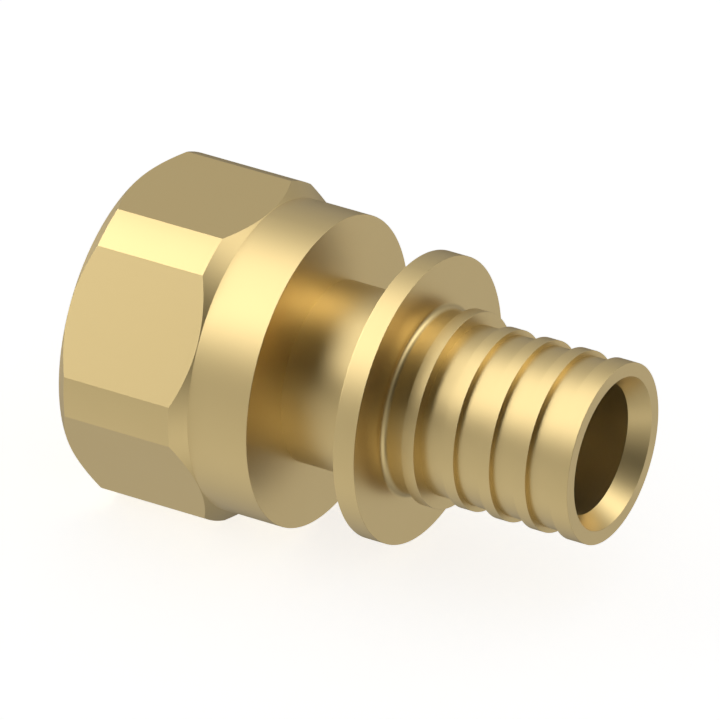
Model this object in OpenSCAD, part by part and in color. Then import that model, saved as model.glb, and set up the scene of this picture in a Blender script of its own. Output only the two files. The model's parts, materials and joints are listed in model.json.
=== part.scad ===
// Female adapter for plastic pipe, turned and milled from one piece of brass.
// A hexagonal wrench body holds a parallel pipe thread socket. A grooved spigot takes the pipe,
// and a flange between the two stops the sliding sleeve.
// Millimetres. The axis lies along X and the spigot points to +X. The origin is on the axis,
// in the plane of the collar's front face. The part lies on one flat of the hexagon, so +Z is up.

/* [Wrench hexagon and collar] */
// Size across the flats of the hexagon
across_flats = 24; // [24:0.5:32]
// Length of the hexagon, with both of its chamfers
hexagon_len = 11; // [7:0.5:20]
// Height of the turned corners above the flats
corner_rise = 1; // [0.5:0.1:1.5]
// Length of the round collar in front of the hexagon
collar_len = 5; // [3:0.5:10]
// How far the collar and the rear rim lie under the flats
collar_relief = 0.03; // [0.01:0.01:0.5]

/* [Threaded socket] */
// Major diameter of the pipe thread
thread_major_d = 20.955; // [18:0.005:20.955]
// Pitch of the pipe thread
thread_pitch = 1.814; // [1.337:0.001:1.814]
// Depth of the socket, from the rim to its floor
socket_depth = 13.5; // [10:0.5:14.5]
// How much wider the mouth is than the thread
mouth_clearance = 0.5; // [0.2:0.1:1]
// Length of the run-out groove at the floor
runout_len = 1.8; // [1:0.1:3]
// How much wider the run-out groove is than the thread
runout_clearance = 0.3; // [0.1:0.1:0.8]

/* [Neck and flange] */
// Diameter of the neck that the sleeve tool grips
neck_d = 14; // [13:0.1:18]
// Length of the neck between the collar and the flange
neck_len = 6.75; // [3:0.25:15]
// Diameter of the flange
flange_d = 22; // [18:0.5:28]
// Thickness of the flange
flange_thick = 1.75; // [1:0.25:4]
// Radius of the fillet in both corners of the neck
neck_fillet = 0.2; // [0.1:0.1:1]
// Radius of the fillet at the foot of the flange, on the pipe's side
foot_fillet = 0.5; // [0.2:0.1:1]

/* [Pipe spigot] */
// Diameter of the plain seat behind the first ring
seat_d = 13.9; // [12.5:0.1:14.5]
// Length of the plain seat behind the first ring
seat_len = 2; // [1.5:0.25:5]
// Diameter of the first ring, which stops the pipe
stop_ring_d = 15; // [14.2:0.1:17]
// Diameter of the gripping rings and of the nozzle's end
ring_d = 13.8; // [13.5:0.1:15.5]
// Diameter at the bottom of the grooves
groove_d = 13; // [12:0.1:13.2]
// Width of each ring
ring_width = 1; // [0.6:0.1:2]
// Width of each groove
groove_width = 2; // [1:0.1:4]
// Number of gripping rings between the first ring and the nozzle's end
ring_count = 3; // [1:1:6]
// Length of the plain end of the nozzle
nozzle_len = 1.5; // [1:0.25:4]
// Chamfer on the edges of the collar, the flange and the rings
edge_break = 0.1; // [0.05:0.05:0.2]

/* [Waterway] */
// Diameter of the waterway through the spigot
bore_d = 10; // [7:0.1:11]
// Diameter of the countersink at the end of the nozzle
nozzle_mouth_d = 11.7; // [11.2:0.1:12.8]
// Depth of the countersink at the end of the nozzle
nozzle_mouth_depth = 1.5; // [0.5:0.1:3]
// Chamfer where the waterway opens into the socket
inlet_chamfer = 0.75; // [0.25:0.05:1.5]

/* [Hidden] */
$fn = 96;
// Depth of a 55 degree pipe thread, as a share of its pitch
THREAD_DEPTH_SHARE = 0.640327;
// How far a cutter reaches past the face that it opens
over = 1;

// Places along the axis
collar_rear_x = -collar_len;
rim_x = collar_rear_x - hexagon_len;
socket_floor_x = rim_x + socket_depth;
flange_rear_x = neck_len;
flange_front_x = flange_rear_x + flange_thick;
stop_ring_x = flange_front_x + seat_len;
grip_start_x = stop_ring_x + ring_width;
ring_pitch = groove_width + ring_width;
nozzle_x = grip_start_x + ring_count * ring_pitch + groove_width;
end_x = nozzle_x + nozzle_len;

// Radii
rim_r = across_flats / 2 - collar_relief;
corner_r = across_flats / 2 + corner_rise;
hexagon_chamfer = corner_r - rim_r;
thread_minor_r = thread_major_d / 2 - THREAD_DEPTH_SHARE * thread_pitch;
socket_mouth_r = (thread_major_d + mouth_clearance) / 2;
runout_r = (thread_major_d + runout_clearance) / 2;
bore_r = bore_d / 2;

// Every half section is drawn with the radius to the right and the axis upwards.
// This turns it about the axis and lays the axis along X.
module turned()
    rotate([0, 90, 0])
        rotate_extrude()
            children();

// Half section of a plain round length, with a chamfer at each end
module band(from_x, to_x, diameter, rear_chamfer = 0, front_chamfer = 0)
    polygon([
        [0, from_x],
        [diameter / 2 - rear_chamfer, from_x],
        [diameter / 2, from_x + rear_chamfer],
        [diameter / 2, to_x - front_chamfer],
        [diameter / 2 - front_chamfer, to_x],
        [0, to_x],
    ]);

// Half section of the fillet between a round length and a face. The fillet lies in front of a
// face that looks to +X when side is 1, and behind a face that looks to -X when side is -1.
module corner_fillet(face_x, diameter, radius, side)
    difference() {
        translate([diameter / 2 - radius, side > 0 ? face_x : face_x - radius])
            square([2 * radius, radius]);
        translate([diameter / 2 + radius, face_x + side * radius])
            circle(r = radius);
    }

// The hexagonal bar, turned round at its corners and chamfered at both ends
module wrench_hexagon()
    intersection() {
        rotate([0, 90, 0])
            rotate([0, 0, 30])
                translate([0, 0, rim_x])
                    cylinder(h = hexagon_len, r = across_flats / 2 / cos(30), $fn = 6);
        turned()
            band(rim_x, collar_rear_x, 2 * corner_r, hexagon_chamfer, hexagon_chamfer);
    }

// The collar that carries the socket's inner end, up to the neck
module collar_section()
    band(collar_rear_x, 0, 2 * rim_r, 0, edge_break);

// The neck, filleted to the collar and to the flange
module neck_section() {
    band(-over, flange_rear_x + edge_break, neck_d);
    corner_fillet(0, neck_d, neck_fillet, 1);
    corner_fillet(flange_rear_x, neck_d, neck_fillet, -1);
}

// The flange that the sleeve is pushed up to, with the filleted seat in front of it
module flange_section() {
    band(flange_rear_x, flange_front_x, flange_d, edge_break, edge_break);
    band(flange_rear_x, stop_ring_x + edge_break, seat_d);
    corner_fillet(flange_front_x, seat_d, foot_fillet, 1);
}

// One ring of the spigot
module ring_section(from_x, width, diameter)
    band(from_x, from_x + width, diameter, edge_break, edge_break);

// The grooved spigot: the first ring, the gripping rings, the nozzle's end and the core in them
module spigot_section() {
    band(stop_ring_x, end_x - edge_break, groove_d);
    ring_section(stop_ring_x, ring_width, stop_ring_d);
    for (i = [1:ring_count])
        ring_section(grip_start_x + i * ring_pitch - ring_width, ring_width, ring_d);
    ring_section(nozzle_x, nozzle_len, ring_d);
}

// The space inside the socket: mouth chamfer, thread bore, run-out groove and flat floor
module socket_space() {
    mouth_chamfer = socket_mouth_r - thread_minor_r;
    runout_x = socket_floor_x - runout_len;
    polygon([
        [0, rim_x - over],
        [socket_mouth_r + over, rim_x - over],
        [thread_minor_r, rim_x + mouth_chamfer],
        [thread_minor_r, runout_x],
        [runout_r, runout_x],
        [runout_r, socket_floor_x],
        [0, socket_floor_x],
    ]);
}

// The space inside the waterway: inlet chamfer, straight bore and countersunk nozzle
module waterway_space() {
    nozzle_mouth_r = nozzle_mouth_d / 2;
    mouth_flare = (nozzle_mouth_r - bore_r) / nozzle_mouth_depth;
    polygon([
        [0, socket_floor_x - over],
        [bore_r + inlet_chamfer + over, socket_floor_x - over],
        [bore_r, socket_floor_x + inlet_chamfer],
        [bore_r, end_x - nozzle_mouth_depth],
        [nozzle_mouth_r + over * mouth_flare, end_x + over],
        [0, end_x + over],
    ]);
}

module adapter_body()
    color([0.79, 0.66, 0.38])
        difference() {
            union() {
                wrench_hexagon();
                turned() {
                    collar_section();
                    neck_section();
                    flange_section();
                    spigot_section();
                }
            }
            turned()
                socket_space();
            turned()
                waterway_space();
        }

adapter_body();
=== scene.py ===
"""Looks of a pipe adapter that is turned and milled from one bar of brass.

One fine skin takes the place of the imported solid's own. It has the same outline, with edges rounded
by a deburring cut, the thread inside the socket, and the marks of the tools that cut each zone.
Lengths are in metres. The axis lies along X, with the spigot's nozzle at +X, and +Z is up.
"""

from __future__ import annotations

import json
import logging
import math
from dataclasses import dataclass
from enum import Enum
from typing import Any

import bmesh
import bpy
import numpy as np
from mathutils import Matrix, Vector


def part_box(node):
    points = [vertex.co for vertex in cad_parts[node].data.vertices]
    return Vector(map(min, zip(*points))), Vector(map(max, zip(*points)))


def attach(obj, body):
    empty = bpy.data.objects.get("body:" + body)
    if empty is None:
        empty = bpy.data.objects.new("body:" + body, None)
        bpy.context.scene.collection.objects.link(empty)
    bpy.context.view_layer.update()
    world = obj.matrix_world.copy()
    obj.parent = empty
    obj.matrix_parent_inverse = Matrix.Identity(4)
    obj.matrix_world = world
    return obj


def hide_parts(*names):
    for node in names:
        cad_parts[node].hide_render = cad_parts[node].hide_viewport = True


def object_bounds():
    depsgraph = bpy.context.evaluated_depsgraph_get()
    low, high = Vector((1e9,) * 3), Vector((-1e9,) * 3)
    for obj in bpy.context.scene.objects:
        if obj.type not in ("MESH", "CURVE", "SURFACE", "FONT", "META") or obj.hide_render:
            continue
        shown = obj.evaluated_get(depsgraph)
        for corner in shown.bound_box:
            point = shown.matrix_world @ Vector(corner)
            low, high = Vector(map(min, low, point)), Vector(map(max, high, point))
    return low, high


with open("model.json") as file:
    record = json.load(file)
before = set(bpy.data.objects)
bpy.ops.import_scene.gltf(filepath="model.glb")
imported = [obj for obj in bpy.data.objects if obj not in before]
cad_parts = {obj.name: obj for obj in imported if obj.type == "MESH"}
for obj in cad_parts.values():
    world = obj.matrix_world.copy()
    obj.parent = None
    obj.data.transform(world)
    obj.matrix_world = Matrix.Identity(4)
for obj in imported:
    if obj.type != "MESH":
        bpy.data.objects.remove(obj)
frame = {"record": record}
cad_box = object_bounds()

MM = 0.001
MICRON = 0.000001
NODE = "adapter_body"
WHITE = (1.0, 1.0, 1.0, 1.0)
MEAN_NOISE = 0.5

log = logging.getLogger("adapter")


class Finish(Enum):
    """How a zone of the skin was cut. The value is the zone's material slot."""

    TURNED = 0
    MILLED = 1
    BORED = 2
    THREADED = 3


class Marks(Enum):
    """Which way the marks of a tool run."""

    ROUND = "round the axis"
    ALONG = "along the axis"


@dataclass(frozen=True)
class Corner:
    """A corner of the half section, and how the run from it to the next corner was cut.

    Attributes:
        x: Place along the axis.
        r: Distance from the axis.
        rounding: Radius of the arc that takes the corner off.
        finish: How the run that starts here was cut.
        lean: How far the corner moves along X and outwards where the hexagon rises by one metre.
    """

    x: float
    r: float
    rounding: float = 0.0
    finish: Finish = Finish.TURNED
    lean: tuple[float, float] = (0.0, 0.0)


@dataclass(frozen=True)
class WrenchHexagon:
    """The hexagonal bar, turned round at its corners and chamfered at both ends.

    Attributes:
        rear_x: Place of its rear face, the socket's rim.
        front_x: Where it meets the collar.
        flat_r: Distance from the axis to a flat.
        rim_r: Radius of the rear rim and of the front chamfer's foot.
        corner_rise: How far the turned corners stand above the flats.
        edge_break: Radius of the rounding on the rear rim.
        flat_columns: Columns of faces on each flat.
        corner_columns: Columns of faces on each turned corner.
        sides: Number of flats.
    """

    rear_x: float
    front_x: float
    flat_r: float
    rim_r: float
    corner_rise: float = 1.0 * MM
    edge_break: float = 0.03 * MM
    flat_columns: int = 30
    corner_columns: int = 10
    sides: int = 6

    @property
    def corner_r(self) -> float:
        """Return the radius of the turned corners."""
        return self.flat_r + self.corner_rise

    def flat_half_angle(self) -> float:
        """Return the angle from the middle of a flat to its edge."""
        return math.acos(self.flat_r / self.corner_r)

    def angles(self) -> np.ndarray:
        """Return the angles of the skin's columns, with one on every edge of a flat.

        Returns:
            Angles about +X from +Z, once round, from the middle of one corner back to it.
        """
        side = 2 * math.pi / self.sides
        half = self.flat_half_angle()
        corner = np.linspace(-side / 2, -half, self.corner_columns // 2, endpoint=False)
        flat = np.linspace(-half, half, self.flat_columns, endpoint=False)
        other_corner = np.linspace(half, side / 2, self.corner_columns // 2, endpoint=False)
        sector = np.concatenate([corner, flat, other_corner])
        turns = [sector + k * side for k in range(self.sides)]
        return np.append(np.concatenate(turns), -side / 2 + 2 * math.pi)

    def off_flat(self, angles: np.ndarray) -> np.ndarray:
        """Return each angle as measured from the middle of its own flat."""
        side = 2 * math.pi / self.sides
        return (angles + side / 2) % side - side / 2

    def rise(self, angles: np.ndarray) -> np.ndarray:
        """Return how far the bar stands above the rim at each angle."""
        return np.minimum(self.flat_r / np.cos(self.off_flat(angles)), self.corner_r) - self.rim_r

    def corners(self) -> list[Corner]:
        """Return the corners from the rear rim to the collar.

        Returns:
            Four corners. The two in the middle lean with the chamfers.
        """
        return [
            Corner(self.rear_x, self.rim_r, self.edge_break),
            Corner(self.rear_x, self.rim_r, finish=Finish.MILLED, lean=(1.0, 1.0)),
            Corner(self.front_x, self.rim_r, lean=(-1.0, 1.0)),
            Corner(self.front_x, self.rim_r),
        ]


@dataclass(frozen=True)
class Collar:
    """The round collar in front of the hexagon, a hair lower than its flats.

    Attributes:
        front_x: Place of its front face.
        flat_r: Distance from the axis to a flat of the hexagon.
        length: Its length along the axis.
        relief: How far it lies under the flats.
        edge_break: Radius of the rounding on its front edge.
    """

    front_x: float
    flat_r: float
    length: float = 5.0 * MM
    relief: float = 0.03 * MM
    edge_break: float = 0.03 * MM

    @property
    def rear_x(self) -> float:
        """Return where the collar meets the hexagon."""
        return self.front_x - self.length

    @property
    def radius(self) -> float:
        """Return the collar's radius, which the hexagon's rear rim shares."""
        return self.flat_r - self.relief

    def corners(self) -> list[Corner]:
        """Return the collar's front edge."""
        return [Corner(self.front_x, self.radius, self.edge_break)]


@dataclass(frozen=True)
class Neck:
    """The neck that the sleeve tool grips.

    Attributes:
        rear_x: Where it leaves the collar's front face.
        length: Its length along the axis.
        radius: Its radius.
    """

    rear_x: float
    length: float = 6.75 * MM
    radius: float = 7.0 * MM

    @property
    def front_x(self) -> float:
        """Return where the neck meets the flange."""
        return self.rear_x + self.length

    def corners(self) -> list[Corner]:
        """Return the neck's two inner corners."""
        return [Corner(self.rear_x, self.radius), Corner(self.front_x, self.radius)]


@dataclass(frozen=True)
class Flange:
    """The flange, with the filleted seat in front of it.

    Attributes:
        rear_x: Place of its rear face.
        thickness: Its thickness.
        radius: Its radius.
        edge_break: Radius of the rounding on both of its edges.
        foot_fillet: Radius of the fillet between its front face and the seat.
        seat_length: Length of the seat, from the front face to the first ring.
        seat_radius: Radius of the seat.
    """

    rear_x: float
    thickness: float = 1.75 * MM
    radius: float = 11.0 * MM
    edge_break: float = 0.02 * MM
    foot_fillet: float = 0.5 * MM
    seat_length: float = 2.0 * MM
    seat_radius: float = 6.95 * MM

    @property
    def front_x(self) -> float:
        """Return the place of the flange's front face."""
        return self.rear_x + self.thickness

    @property
    def seat_end_x(self) -> float:
        """Return where the seat ends."""
        return self.front_x + self.seat_length

    def corners(self) -> list[Corner]:
        """Return the corners from the flange's rear edge to the end of the seat.

        Returns:
            The flange's two edges, its foot and the seat's end.
        """
        return [
            Corner(self.rear_x, self.radius, self.edge_break),
            Corner(self.front_x, self.radius, self.edge_break),
            Corner(self.front_x, self.seat_radius, self.foot_fillet),
            Corner(self.seat_end_x, self.seat_radius),
        ]


@dataclass(frozen=True)
class Spigot:
    """The grooved spigot: the ring that stops the pipe, the gripping rings and the nozzle's end.

    Attributes:
        start_x: Rear face of the first ring.
        end_x: The nozzle's end.
        ring_radius: Radius of the gripping rings and of the nozzle's end.
        stop_radius: Radius of the first ring, which stops the pipe.
        groove_radius: Radius at the bottom of the grooves.
        ring_width: Width of each ring.
        groove_width: Width of each groove.
        ring_count: Number of gripping rings.
        edge_break: Radius of the rounding on the front edges of the rings and the nozzle.
    """

    start_x: float
    end_x: float
    ring_radius: float
    stop_radius: float = 7.5 * MM
    groove_radius: float = 6.5 * MM
    ring_width: float = 1.0 * MM
    groove_width: float = 2.0 * MM
    ring_count: int = 3
    edge_break: float = 0.02 * MM

    def ring(self, start_x: float, end_x: float, radius: float) -> list[Corner]:
        """Return the two corners of one ring and the foot of its front face.

        Args:
            start_x: The ring's rear face.
            end_x: The ring's front face.
            radius: The ring's radius.

        Returns:
            Three corners, the last one at the bottom of the groove that follows.
        """
        return [
            Corner(start_x, radius),
            Corner(end_x, radius, self.edge_break),
            Corner(end_x, self.groove_radius),
        ]

    def corners(self) -> list[Corner]:
        """Return the corners from the first ring to the nozzle's outer edge.

        Returns:
            The corners of every ring and groove, in order.
        """
        found = self.ring(self.start_x, self.start_x + self.ring_width, self.stop_radius)
        ring_x = self.start_x + self.ring_width + self.groove_width
        for _ in range(self.ring_count):
            found.append(Corner(ring_x, self.groove_radius))
            found += self.ring(ring_x, ring_x + self.ring_width, self.ring_radius)
            ring_x += self.ring_width + self.groove_width
        found.append(Corner(ring_x, self.groove_radius))
        found.append(Corner(ring_x, self.ring_radius))
        found.append(Corner(self.end_x, self.ring_radius, self.edge_break))
        return found


@dataclass(frozen=True)
class Waterway:
    """The countersunk waterway through the spigot, down to the socket's floor.

    Attributes:
        end_x: The nozzle's end.
        floor_x: Place of the socket's floor.
        radius: Radius of the waterway.
        mouth_radius: Radius of the countersink at the nozzle's end.
        mouth_depth: Depth of the countersink.
        mouth_break: Radius of the rounding on the countersink's edge.
        inlet_chamfer: Size of the chamfer at the socket's floor.
    """

    end_x: float
    floor_x: float
    radius: float
    mouth_radius: float = 5.85 * MM
    mouth_depth: float = 1.5 * MM
    mouth_break: float = 0.02 * MM
    inlet_chamfer: float = 0.75 * MM

    def corners(self) -> list[Corner]:
        """Return the corners from the nozzle's mouth to the socket's floor.

        Returns:
            The two ends of the countersink and the two ends of the inlet chamfer.
        """
        return [
            Corner(self.end_x, self.mouth_radius, self.mouth_break),
            Corner(self.end_x - self.mouth_depth, self.radius, finish=Finish.BORED),
            Corner(self.floor_x + self.inlet_chamfer, self.radius),
            Corner(self.floor_x, self.radius + self.inlet_chamfer),
        ]


@dataclass(frozen=True)
class Socket:
    """The threaded socket: a run-out groove at its floor, a parallel pipe thread and a wide mouth.

    Attributes:
        mouth_x: Place of the socket's rim.
        minor_radius: Radius at the thread's crests.
        depth: Depth from the rim to the floor.
        major_radius: Radius at the thread's roots.
        pitch: The thread's pitch.
        mouth_radius: Radius of the mouth at the rim.
        runout_radius: Radius of the run-out groove.
        runout_length: Length of the run-out groove.
        floor_fillet: Radius of the fillet between the groove and the floor.
        flank_degrees: How far a flank leans from square to the axis.
        arc_steps: Steps round each of the two arcs that end a flank.
        flank_steps: Steps down the straight part of a flank.
    """

    mouth_x: float
    minor_radius: float
    depth: float = 13.5 * MM
    major_radius: float = 10.4775 * MM
    pitch: float = 1.814 * MM
    mouth_radius: float = 10.7275 * MM
    runout_radius: float = 10.6275 * MM
    runout_length: float = 1.8 * MM
    floor_fillet: float = 0.15 * MM
    flank_degrees: float = 27.5
    arc_steps: int = 3
    flank_steps: int = 4

    @property
    def floor_x(self) -> float:
        """Return the place of the socket's floor."""
        return self.mouth_x + self.depth

    @property
    def runout_x(self) -> float:
        """Return where the thread ends and the run-out groove begins."""
        return self.floor_x - self.runout_length

    def corners(self) -> list[Corner]:
        """Return the corners of the groove at the floor, up to the end of the thread.

        Returns:
            The groove's corner at the floor and its corner at the thread.
        """
        return [
            Corner(self.floor_x, self.runout_radius, self.floor_fillet),
            Corner(self.runout_x, self.runout_radius),
        ]

    def tooth(self) -> tuple[np.ndarray, np.ndarray]:
        """Return one pitch of the thread's axial section, from one root to the next.

        The flanks lean by the half angle of the thread, and equal arcs round its root and crest.

        Returns:
            Places along one pitch, from 0 to 1, and the radius at each.
        """
        lean = math.radians(self.flank_degrees)
        depth = self.major_radius - self.minor_radius
        half = self.pitch / 2
        bend = math.pi / 2 - lean
        # A flank joins two arcs of one radius, so the arcs' share of the half pitch gives it.
        wide, high = math.sin(bend), 1 - math.cos(bend)
        radius = (half - depth * math.tan(lean)) / (2 * (wide - high * math.tan(lean)))
        turn = np.linspace(0, bend, self.arc_steps + 1)
        arc_x, arc_drop = radius * np.sin(turn), radius * (1 - np.cos(turn))
        share = np.linspace(0, 1, self.flank_steps + 1)[1:-1]
        flank_x = arc_x[-1] + share * (half - 2 * arc_x[-1])
        flank_drop = arc_drop[-1] + share * (depth - 2 * arc_drop[-1])
        down_x = np.concatenate([arc_x, flank_x, half - arc_x[::-1]])
        drop = np.concatenate([arc_drop, flank_drop, depth - arc_drop[::-1]])
        places = np.concatenate([down_x, (self.pitch - down_x[::-1])[1:]])
        drops = np.concatenate([drop, drop[::-1][1:]])
        return places / self.pitch, self.major_radius - drops

    def thread_rows(self, angles: np.ndarray) -> tuple[np.ndarray, np.ndarray]:
        """Return the rows of the right-hand thread, from the groove at the floor to the mouth.

        Every row follows the helix, so crest and root are lines of the mesh. Rows that run out of
        the thread's length are held at its ends, where welding closes them.

        Args:
            angles: The angles of the skin's columns, once round.

        Returns:
            Place along X and radius of every point, row by row.
        """
        share, radius = self.tooth()
        turns = math.ceil((self.runout_x - self.mouth_x) / self.pitch) + 1
        steps = np.concatenate([k + share[:-1] for k in range(turns)]) - 1
        radii = np.tile(radius[:-1], turns)
        advance = (angles - angles[0]) / (2 * math.pi)
        x = self.mouth_x + self.pitch * (steps[:, None] + advance[None, :])
        r = np.broadcast_to(radii[:, None], x.shape)
        end_place = ((self.runout_x - self.mouth_x) / self.pitch - advance) % 1
        end_r = np.interp(end_place, share, radius)
        r = np.where(x > self.runout_x, end_r, r)
        x = np.clip(x, self.mouth_x, self.runout_x)
        r = np.maximum(r, self.mouth_radius - (x - self.mouth_x))
        circle = np.ones_like(angles)
        rows_x = np.vstack([circle * self.mouth_x, x, circle * self.runout_x])
        rows_r = np.vstack([circle * self.mouth_radius, r, circle * self.runout_radius])
        return rows_x[::-1], rows_r[::-1]


class Skin:
    """A closed mesh that is gathered from grids of points and welded where they meet."""

    def __init__(self, angles: np.ndarray) -> None:
        """Start an empty skin.

        Args:
            angles: The angles of the columns, once round, with the first one repeated at the end.
        """
        self.angles = angles
        self.points: list[np.ndarray] = []
        self.faces: list[np.ndarray] = []
        self.slots: list[np.ndarray] = []
        self.count = 0

    def add(self, x: np.ndarray, r: np.ndarray, slots: np.ndarray) -> None:
        """Add a grid of points and the faces between them.

        Args:
            x: Place along the axis, for each row and column.
            r: Distance from the axis, for each row and column.
            slots: Material slot of each face.
        """
        y, z = -r * np.sin(self.angles), r * np.cos(self.angles)
        index = self.count + np.arange(x.size).reshape(x.shape)
        quads = [index[:-1, :-1], index[:-1, 1:], index[1:, 1:], index[1:, :-1]]
        self.points.append(np.stack([x, y, z], axis=-1).reshape(-1, 3))
        self.faces.append(np.stack(quads, axis=-1).reshape(-1, 4))
        self.slots.append(slots.reshape(-1))
        self.count += x.size

    def to_object(self, name: str, crease_degrees: float, weld: float) -> bpy.types.Object:
        """Weld the grids and make one object of them.

        Args:
            name: The object's name.
            crease_degrees: Edges that turn by more than this stay sharp.
            weld: Points that lie closer than this become one.

        Returns:
            The object, linked to the scene.
        """
        mesh = bpy.data.meshes.new(name)
        mesh.from_pydata(np.concatenate(self.points), [], np.concatenate(self.faces))
        mesh.polygons.foreach_set("material_index", np.concatenate(self.slots).astype(np.int32))
        work = bmesh.new()
        work.from_mesh(mesh)
        bmesh.ops.remove_doubles(work, verts=work.verts, dist=weld)
        open_edges = sum(1 for edge in work.edges if len(edge.link_faces) != 2)
        work.to_mesh(mesh)
        work.free()
        mesh.shade_smooth()
        mesh.set_sharp_from_angle(angle=math.radians(crease_degrees))
        piece = bpy.data.objects.new(name, mesh)
        bpy.context.scene.collection.objects.link(piece)
        log.info("%s: %d faces, %d open edges", name, len(mesh.polygons), open_edges)
        return piece


class Wire:
    """A shader value that takes part in Python arithmetic and adds the Math nodes for it."""

    def __init__(self, bench: ShaderBench, socket: bpy.types.NodeSocket | None) -> None:
        """Wrap an output socket.

        Args:
            bench: The bench whose tree holds the socket.
            socket: The output socket, or None for a node without outputs.
        """
        self.bench = bench
        self.socket = socket

    def _math(self, operation: str, first: float | Wire, second: float | Wire) -> Wire:
        """Return the result of a Math node on two values."""
        return self.bench.add("ShaderNodeMath", {"operation": operation}, {0: first, 1: second})

    def __add__(self, other: float | Wire) -> Wire:
        """Return self + other."""
        return self._math("ADD", self, other)

    __radd__ = __add__

    def __sub__(self, other: float | Wire) -> Wire:
        """Return self - other."""
        return self._math("SUBTRACT", self, other)

    def __rsub__(self, other: float | Wire) -> Wire:
        """Return other - self."""
        return self._math("SUBTRACT", other, self)

    def __mul__(self, other: float | Wire) -> Wire:
        """Return self * other."""
        return self._math("MULTIPLY", self, other)

    __rmul__ = __mul__

    def __truediv__(self, other: float | Wire) -> Wire:
        """Return self / other."""
        return self._math("DIVIDE", self, other)

    def __rtruediv__(self, other: float | Wire) -> Wire:
        """Return other / self."""
        return self._math("DIVIDE", other, self)

    def __pow__(self, other: float | Wire) -> Wire:
        """Return self ** other."""
        return self._math("POWER", self, other)

    def __rpow__(self, other: float | Wire) -> Wire:
        """Return other ** self."""
        return self._math("POWER", other, self)


class ShaderBench:
    """A node tree on which shaders are put together."""

    def __init__(self, tree: bpy.types.NodeTree) -> None:
        """Clear the tree.

        Args:
            tree: The tree of a material or of the world.
        """
        self.tree = tree
        tree.nodes.clear()

    def add(self, kind: str, settings: dict[str, Any] | None = None,
            sockets: dict[int | str, Any] | None = None, output: int | str = 0) -> Wire:
        """Add one node and return one of its outputs.

        Args:
            kind: The node's type.
            settings: Properties that are set before the sockets.
            sockets: Value or Wire for each input, by name or number.
            output: The output that is returned, by name or number.

        Returns:
            The output as a Wire. A node without outputs gives a Wire without a socket.
        """
        node = self.tree.nodes.new(kind)
        for name, value in (settings or {}).items():
            setattr(node, name, value)
        for key, value in (sockets or {}).items():
            if isinstance(value, Wire):
                self.tree.links.new(value.socket, node.inputs[key])
            else:
                node.inputs[key].default_value = value
        return Wire(self, node.outputs[output] if node.outputs else None)

    def vector(self, operation: str, first: Any, second: Any = None,
               output: str = "Vector") -> Wire:
        """Return the result of a Vector Math node on one or two vectors."""
        sockets = {0: first} if second is None else {0: first, 1: second}
        return self.add("ShaderNodeVectorMath", {"operation": operation}, sockets, output)

    def larger(self, first: float | Wire, second: float | Wire) -> Wire:
        """Return the larger of two values."""
        return self.add("ShaderNodeMath", {"operation": "MAXIMUM"}, {0: first, 1: second})

    def blend(self, share: float | Wire, first: Any, second: Any) -> Wire:
        """Return a colour between two colours.

        Args:
            share: How much of the second colour there is.
            first: The colour at a share of 0.
            second: The colour at a share of 1.

        Returns:
            The mixed colour.
        """
        factor, colour_a, colour_b, result = 0, 6, 7, 2
        sockets = {factor: share, colour_a: first, colour_b: second}
        return self.add("ShaderNodeMix", {"data_type": "RGBA"}, sockets, result)

    def noise(self, place: Wire, scale: float, detail: float, roughness: float = 0.5) -> Wire:
        """Return noise from 0 to 1 at a place.

        Args:
            place: Where the noise is read.
            scale: How many features there are in a metre.
            detail: How many finer layers are added.
            roughness: How strong the finer layers are.

        Returns:
            The noise, which is MEAN_NOISE on average.
        """
        sockets = {"Vector": place, "Scale": scale, "Detail": detail, "Roughness": roughness}
        return self.add("ShaderNodeTexNoise", {}, sockets, "Fac")


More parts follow.
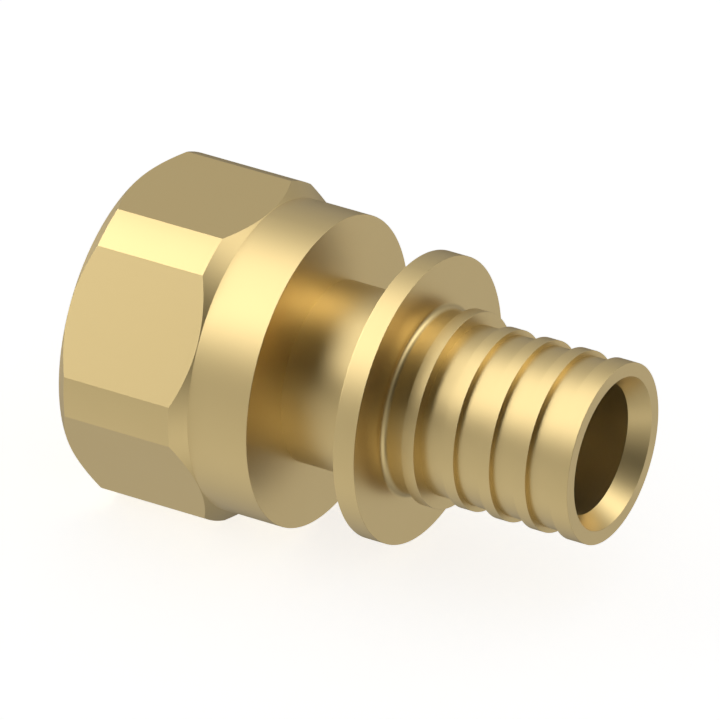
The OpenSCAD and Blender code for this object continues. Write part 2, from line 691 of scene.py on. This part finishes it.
@dataclass(frozen=True)
class BrassFinish:
    """Bare brass as one kind of tool leaves it.

    Attributes:
        name: The material's name.
        marks: Which way the tool's marks run.
        tint: Colour of the metal.
        deep_tint: Colour of its slightly darker patches.
        roughness: Mean roughness.
        roughness_spread: How far the roughness varies with the marks and patches.
        marks_share: How much of that comes from the marks. The rest comes from the patches.
        mark_pitch: Distance between neighbouring tool marks.
        mark_layers: Finer layers in the marks.
        mark_layer_strength: How strong those layers are.
        mark_depth: Height of the marks.
        wander: How far a mark strays on its way round.
        grain_size: Size of the fine grain between the marks.
        grain_layers: Finer layers in the grain.
        grain_depth: Height of that grain.
        patch_size: Size of the patches in the metal's colour.
        patch_layers: Finer layers in the patches.
    """

    name: str
    marks: Marks
    tint: tuple[float, float, float] = (0.712, 0.552, 0.264)
    deep_tint: tuple[float, float, float] = (0.7, 0.54, 0.254)
    roughness: float = 0.38
    roughness_spread: float = 0.05
    marks_share: float = 0.6
    mark_pitch: float = 0.11 * MM
    mark_layers: float = 3.0
    mark_layer_strength: float = 0.55
    mark_depth: float = 0.2 * MICRON
    wander: float = 0.15 * MM
    grain_size: float = 0.15 * MM
    grain_layers: float = 1.0
    grain_depth: float = 1.0 * MICRON
    patch_size: float = 6.0 * MM
    patch_layers: float = 2.0

    def place_along_marks(self, bench: ShaderBench, place: Wire) -> Wire:
        """Return a place that changes slowly along the marks and fast across them.

        Args:
            bench: The bench that the nodes are put on.
            place: The place on the object.

        Returns:
            The place, stretched along the marks.
        """
        across = bench.vector("MULTIPLY", place, (0.0, 1.0, 1.0))
        if self.marks is Marks.ALONG:
            slow = self.mark_pitch / self.patch_size
            return bench.vector("ADD", across, bench.vector("MULTIPLY", place, (slow, 0.0, 0.0)))
        distance = bench.vector("LENGTH", across, output="Value")
        facing = bench.vector("NORMALIZE", across)
        parts = self.split(bench, facing)
        along_x = self.split(bench, place)[0]
        sockets = {0: along_x + parts[1] * self.wander, 1: distance + parts[2] * self.wander}
        return bench.add("ShaderNodeCombineXYZ", {}, sockets)

    def split(self, bench: ShaderBench, vector: Wire) -> list[Wire]:
        """Return the three components of a vector."""
        return [bench.add("ShaderNodeSeparateXYZ", {}, {0: vector}, axis) for axis in "XYZ"]

    def material(self) -> bpy.types.Material:
        """Build the material.

        Returns:
            The finished material.
        """
        made = bpy.data.materials.new(self.name)
        made.use_nodes = True
        bench = ShaderBench(made.node_tree)
        place = bench.add("ShaderNodeTexCoord", {}, {}, "Object")
        run = self.place_along_marks(bench, place)
        marks = bench.noise(run, 1 / self.mark_pitch, self.mark_layers, self.mark_layer_strength)
        patches = bench.noise(place, 1 / self.patch_size, self.patch_layers)
        colour = bench.blend(patches, (*self.tint, 1.0), (*self.deep_tint, 1.0))
        variation = self.marks_share * marks + (1 - self.marks_share) * patches - MEAN_NOISE
        sheen = self.roughness + self.roughness_spread * variation
        grain = bench.noise(place, 1 / self.grain_size, self.grain_layers)
        height = marks * (self.mark_depth / MICRON) + grain * (self.grain_depth / MICRON)
        normal = bench.add("ShaderNodeBump", {}, {"Height": height, "Distance": MICRON})
        metal = bench.add("ShaderNodeBsdfPrincipled", {}, {
            "Base Color": colour, "Metallic": 1.0, "Roughness": sheen, "Normal": normal,
        })
        bench.add("ShaderNodeOutputMaterial", {}, {"Surface": metal})
        return made


FINISHES = {
    Finish.TURNED: BrassFinish("turned_brass", Marks.ROUND),
    Finish.MILLED: BrassFinish("milled_brass", Marks.ALONG, mark_pitch=0.16 * MM),
    Finish.BORED: BrassFinish(
        "bored_brass", Marks.ROUND, tint=(0.7, 0.59, 0.34), deep_tint=(0.67, 0.56, 0.32),
        mark_depth=0.8 * MICRON,
    ),
    Finish.THREADED: BrassFinish("threaded_brass", Marks.ROUND, roughness=0.34),
}


@dataclass(frozen=True)
class AdapterBody:
    """The whole fitting, one piece of brass.

    Attributes:
        hexagon: The wrench hexagon.
        collar: The collar.
        neck: The neck.
        flange: The flange and its seat.
        spigot: The spigot's rings.
        waterway: The waterway.
        socket: The threaded socket.
        crease_degrees: Edges that turn by more than this stay sharp.
        weld: Points that lie closer than this become one.
        arc_degrees: The most that one step of an arc turns.
        fine_arc_chord: The longest step of an arc.
        hold: Distance from an arc to the point that keeps its shading off the run beside it.
        hold_share: Where that point lies on a run that leans, as a share of the hexagon's rise.
    """

    hexagon: WrenchHexagon
    collar: Collar
    neck: Neck
    flange: Flange
    spigot: Spigot
    waterway: Waterway
    socket: Socket
    crease_degrees: float = 20.0
    weld: float = 0.05 * MICRON
    arc_degrees: float = 18.0
    fine_arc_chord: float = 0.08 * MM
    hold: float = 0.015 * MM
    hold_share: float = 0.03

    @classmethod
    def from_frame(cls, record: dict[str, Any]) -> AdapterBody:
        """Work the fitting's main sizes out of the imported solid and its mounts.

        Args:
            record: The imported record.

        Returns:
            The fitting.
        """
        low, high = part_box(NODE)
        radius = {
            mount["name"]: mount["dims"]["r_mm"] * MM
            for mount in record["mounts"] if "r_mm" in mount["dims"]
        }
        # The frame's origin lies in the collar's front face.
        collar = Collar(front_x=0.0, flat_r=high.z)
        neck = Neck(collar.front_x)
        flange = Flange(neck.front_x)
        socket = Socket(low.x, radius["socket_thread"])
        return cls(
            hexagon=WrenchHexagon(low.x, collar.rear_x, collar.flat_r, collar.radius),
            collar=collar,
            neck=neck,
            flange=flange,
            spigot=Spigot(flange.seat_end_x, high.x, radius["pipe_spigot"]),
            waterway=Waterway(high.x, socket.floor_x, radius["spigot_bore"]),
            socket=socket,
        )

    def outline(self) -> list[Corner]:
        """Return the half section's corners, from the socket's mouth round to its thread.

        Returns:
            The corners, in order.
        """
        mouth = Corner(self.socket.mouth_x, self.socket.mouth_radius)
        parts = (
            self.hexagon, self.collar, self.neck, self.flange, self.spigot, self.waterway,
            self.socket,
        )
        return [mouth] + [corner for part in parts for corner in part.corners()]

    def rounded(self, before: Corner, corner: Corner, after: Corner) -> list[Corner]:
        """Replace a corner by points on the arc that takes it off.

        One more point on each side, close to the arc, keeps the arc's shading off the long runs.

        Args:
            before: The corner before it.
            corner: The corner.
            after: The corner after it.

        Returns:
            The points, or the corner itself if it isn't rounded.
        """
        if not corner.rounding:
            return [corner]
        middle = Vector((corner.x, corner.r))
        back = (Vector((before.x, before.r)) - middle).normalized()
        ahead = (Vector((after.x, after.r)) - middle).normalized()
        if after.lean != corner.lean:
            ahead = Vector(after.lean).normalized()
        half = back.angle(ahead) / 2
        centre = middle + (back + ahead).normalized() * (corner.rounding / math.sin(half))
        reach = corner.rounding / math.tan(half)
        spoke, last_spoke = middle + back * reach - centre, middle + ahead * reach - centre
        sweep = math.pi - 2 * half
        steps = max(
            math.ceil(math.degrees(sweep) / self.arc_degrees),
            math.ceil(sweep * corner.rounding / self.fine_arc_chord),
        )
        sign = math.copysign(1.0, spoke.cross(last_spoke))
        points = [centre + Matrix.Rotation(sign * sweep * k / steps, 2) @ spoke
                  for k in range(steps + 1)]
        arc = [Corner(p.x, p.y, finish=corner.finish, lean=corner.lean) for p in points]
        start = points[0] + back * self.hold
        end, lean = points[-1] + ahead * self.hold, corner.lean
        if after.lean != corner.lean:
            end, lean = points[-1], tuple(self.hold_share * part for part in after.lean)
        return [
            Corner(start.x, start.y, finish=before.finish, lean=corner.lean),
            *arc,
            Corner(end.x, end.y, finish=corner.finish, lean=lean),
        ]

    def rings(self) -> list[Corner]:
        """Return the outline with its rounded corners as arcs.

        Returns:
            The corners and the points of the arcs, in order.
        """
        walk = self.outline()
        found = [walk[0]]
        for before, corner, after in zip(walk, walk[1:], walk[2:]):
            found += self.rounded(before, corner, after)
        return found + [walk[-1]]

    def skin(self) -> bpy.types.Object:
        """Build the whole skin, with the thread.

        Returns:
            The skin's object.
        """
        angles = self.hexagon.angles()
        rise = self.hexagon.rise(angles)
        rings = self.rings()
        x = np.array([ring.x + ring.lean[0] * rise for ring in rings])
        r = np.array([ring.r + ring.lean[1] * rise for ring in rings])
        slots = np.array([[ring.finish.value] * (len(angles) - 1) for ring in rings[:-1]])
        middles = (angles[:-1] + angles[1:]) / 2
        off_flats = np.abs(self.hexagon.off_flat(middles)) > self.hexagon.flat_half_angle()
        slots[(slots == Finish.MILLED.value) & off_flats] = Finish.TURNED.value
        skin = Skin(angles)
        skin.add(x, r, slots)
        thread_x, thread_r = self.socket.thread_rows(angles)
        threaded = np.full((len(thread_x) - 1, len(angles) - 1), Finish.THREADED.value)
        skin.add(thread_x, thread_r, threaded)
        return skin.to_object(f"{NODE}_skin", self.crease_degrees, self.weld)

    def build(self) -> bpy.types.Object:
        """Build the fitting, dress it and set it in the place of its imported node.

        Returns:
            The fitting's object.
        """
        piece = self.skin()
        for finish in Finish:
            piece.data.materials.append(FINISHES[finish].material())
        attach(piece, "root")
        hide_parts(NODE)
        return piece


@dataclass(frozen=True)
class SoftLight:
    """A soft light that the brass mirrors, or a dark flag that takes light away.

    Attributes:
        name: What stands there.
        azimuth: Where it stands, in degrees about +Z from +X.
        elevation: How high it stands above the fitting, in degrees.
        spread: Angle from its middle at which it has faded to six tenths, in degrees.
        brightness: What it adds in its middle, where 1 shows as white. A flag's is negative.
    """

    name: str
    azimuth: float
    elevation: float
    spread: float
    brightness: float

    def towards(self) -> Vector:
        """Return the direction from the fitting to the light.

        Returns:
            The direction, one unit long.
        """
        turn, rise = math.radians(self.azimuth), math.radians(self.elevation)
        level = math.cos(rise)
        return Vector((level * math.cos(turn), level * math.sin(turn), math.sin(rise)))

    def tone(self, bench: ShaderBench, direction: Wire) -> Wire:
        """Return what the light adds in a direction.

        Args:
            bench: The bench of the world's shader.
            direction: The direction in which the brass looks.

        Returns:
            The added brightness.
        """
        nearness = bench.vector("DOT_PRODUCT", direction, self.towards(), "Value")
        fade = (nearness - 1.0) / math.radians(self.spread) ** 2
        return self.brightness * math.e ** fade


@dataclass(frozen=True)
class Studio:
    """A pale floor in pale surroundings, with the soft lights that the brass mirrors.

    Attributes:
        floor_z: Height of the floor.
        floor_size: Side of the floor.
        floor_tone: Tone of the floor.
        floor_lift: How much brighter the camera sees the floor, so that only the shadow shows.
        daylight: Brightness of the surroundings as they light the floor.
        mirrored_tone: Brightness of the surroundings in the brass, away from all lights.
        mirrored_dark: The least brightness that a flag leaves.
        lights: The soft lights and flags.
    """

    floor_z: float
    floor_size: float = 6.0
    floor_tone: float = 0.8
    floor_lift: float = 0.73
    daylight: float = 0.36
    mirrored_tone: float = 0.49
    mirrored_dark: float = 0.05
    lights: tuple[SoftLight, ...] = (
        SoftLight("left_lamp", -151.0, 31.0, 12.5, 6.6),
        SoftLight("left_softbox", 178.0, 41.0, 15.5, 4.0),
        SoftLight("right_softbox", 30.0, 52.0, 14.0, 2.2),
        SoftLight("right_card", 12.0, 36.0, 11.0, 0.55),
        SoftLight("rear_card", 62.0, 52.0, 10.0, 0.75),
        SoftLight("side_card", -36.0, 42.0, 9.0, 0.4),
        SoftLight("far_card", 120.0, 31.0, 9.0, 0.1),
        SoftLight("far_flag", 120.0, -28.0, 12.0, -0.7),
        SoftLight("far_side_card", 84.0, -4.0, 13.0, 0.2),
        SoftLight("dark_wall", -88.0, 50.0, 22.5, -1.75),
        SoftLight("front_flag", -1.0, 11.0, 15.0, -0.9),
        SoftLight("left_floor", -142.0, -33.0, 31.0, 0.45),
        SoftLight("right_floor", 51.0, -28.0, 10.0, 0.75),
        SoftLight("rear_flag", 67.0, -32.0, 45.0, -0.25),
        SoftLight("front_card", -24.0, -38.0, 13.0, 0.65),
        SoftLight("near_card", -58.0, -31.0, 9.0, 0.7),
        SoftLight("low_flag", -86.0, -34.0, 11.0, -0.9),
    )

    def mirrored(self, bench: ShaderBench) -> Wire:
        """Tell what metal or glass shows from all else.

        Args:
            bench: The bench that the nodes are put on.

        Returns:
            1 where metal or glass looks, and 0 elsewhere.
        """
        glossy = bench.add("ShaderNodeLightPath", {}, {}, "Is Glossy Ray")
        through = bench.add("ShaderNodeLightPath", {}, {}, "Is Transmission Ray")
        return bench.larger(glossy, through)

    def floor_material(self) -> bpy.types.Material:
        """Build the floor's material.

        The camera sees it as white outside the shadow. The brass looks through it, at the same
        surroundings as everywhere else, so no shadow shows in the brass.

        Returns:
            The finished material.
        """
        made = bpy.data.materials.new("pale_floor")
        made.use_nodes = True
        bench = ShaderBench(made.node_tree)
        seen = bench.add("ShaderNodeLightPath", {}, {}, "Is Camera Ray")
        mirrored = self.mirrored(bench)
        plain = bench.add("ShaderNodeBsdfDiffuse", {}, {"Color": (self.floor_tone,) * 3 + (1.0,)})
        lift = bench.add("ShaderNodeEmission", {}, {"Strength": seen * self.floor_lift})
        lifted = bench.add("ShaderNodeAddShader", {}, {0: plain, 1: lift})
        clear = bench.add("ShaderNodeBsdfTransparent")
        surface = bench.add("ShaderNodeMixShader", {}, {0: mirrored, 1: lifted, 2: clear})
        bench.add("ShaderNodeOutputMaterial", {}, {"Surface": surface})
        return made

    def build_floor(self) -> bpy.types.Object:
        """Lay the floor under the fitting.

        Returns:
            The floor's object.
        """
        half = self.floor_size / 2
        corners = [(-half, -half), (half, -half), (half, half), (-half, half)]
        mesh = bpy.data.meshes.new("floor")
        mesh.from_pydata([(x, y, self.floor_z) for x, y in corners], [], [(0, 1, 2, 3)])
        mesh.materials.append(self.floor_material())
        floor = bpy.data.objects.new("floor", mesh)
        bpy.context.scene.collection.objects.link(floor)
        return floor

    def build_surroundings(self) -> None:
        """Set the world: white behind the fitting, and the soft lights for the brass."""
        world = bpy.data.worlds.new("pale_surroundings")
        world.use_nodes = True
        bpy.context.scene.world = world
        bench = ShaderBench(world.node_tree)
        seen = bench.add("ShaderNodeLightPath", {}, {}, "Is Camera Ray")
        mirrored = self.mirrored(bench)
        direction = bench.vector("NORMALIZE", bench.add("ShaderNodeTexCoord"))
        tone = self.mirrored_tone + sum(light.tone(bench, direction) for light in self.lights)
        lit = bench.larger(tone, self.mirrored_dark)
        light = self.daylight + (lit - self.daylight) * mirrored
        glow = bench.add("ShaderNodeBackground", {}, {
            "Color": WHITE, "Strength": light + (1.0 - light) * seen,
        })
        bench.add("ShaderNodeOutputWorld", {}, {"Surface": glow})

    def build(self) -> None:
        """Set the whole studio up."""
        self.build_floor()
        self.build_surroundings()
        for light in self.lights:
            log.info("%s: azimuth %.0f, elevation %.0f", light.name, light.azimuth, light.elevation)
        bpy.context.scene.view_settings.view_transform = "Standard"


@dataclass(frozen=True)
class View:
    """The camera, at the photograph's viewing angle.

    Attributes:
        azimuth: Angle about +Z from looking along +Y, in degrees.
        elevation: Angle above the floor, in degrees.
        distance: How far the camera stands from the plane that it aims at.
        picture_width: How much of that plane the picture takes in.
        aim_right: How far right of the origin the camera aims.
        aim_up: How far above the origin it aims, at right angles to its line of sight.
        sensor: Width of the sensor in millimetres.
        nearest: What lies nearer than this isn't seen.
        farthest: What lies farther than this isn't seen.
    """

    azimuth: float = 29.9245
    elevation: float = 30.0965
    distance: float = 898.7 * MM
    picture_width: float = 53.135 * MM
    aim_right: float = 2.342 * MM
    aim_up: float = 0.849 * MM
    sensor: float = 36.0
    nearest: float = 10.0 * MM
    farthest: float = 50.0

    def build(self) -> bpy.types.Object:
        """Set the camera up.

        Returns:
            The camera's object.
        """
        a, e = math.radians(self.azimuth), math.radians(self.elevation)
        right = Vector((math.cos(a), math.sin(a), 0.0))
        back = Vector((math.sin(a) * math.cos(e), -math.cos(a) * math.cos(e), math.sin(e)))
        up = back.cross(right)
        lens = bpy.data.cameras.new("photo_view")
        lens.sensor_width = self.sensor
        lens.lens = self.sensor * self.distance / self.picture_width
        lens.clip_start, lens.clip_end = self.nearest, self.farthest
        camera = bpy.data.objects.new("photo_view", lens)
        turn = Matrix((right, up, back)).transposed()
        camera.location = right * self.aim_right + up * self.aim_up + back * self.distance
        camera.rotation_euler = turn.to_euler()
        bpy.context.scene.collection.objects.link(camera)
        bpy.context.scene.camera = camera
        return camera


def main() -> None:
    """Build the fitting, the studio and the view."""
    logging.basicConfig(level=logging.INFO, format="%(name)s: %(message)s")
    body = AdapterBody.from_frame(frame["record"]).build()
    log.info("%s: rides on root, in the place of %s", body.name, NODE)
    Studio(floor_z=cad_box[0].z).build()
    View().build()


if __name__ == "__main__":
    main()
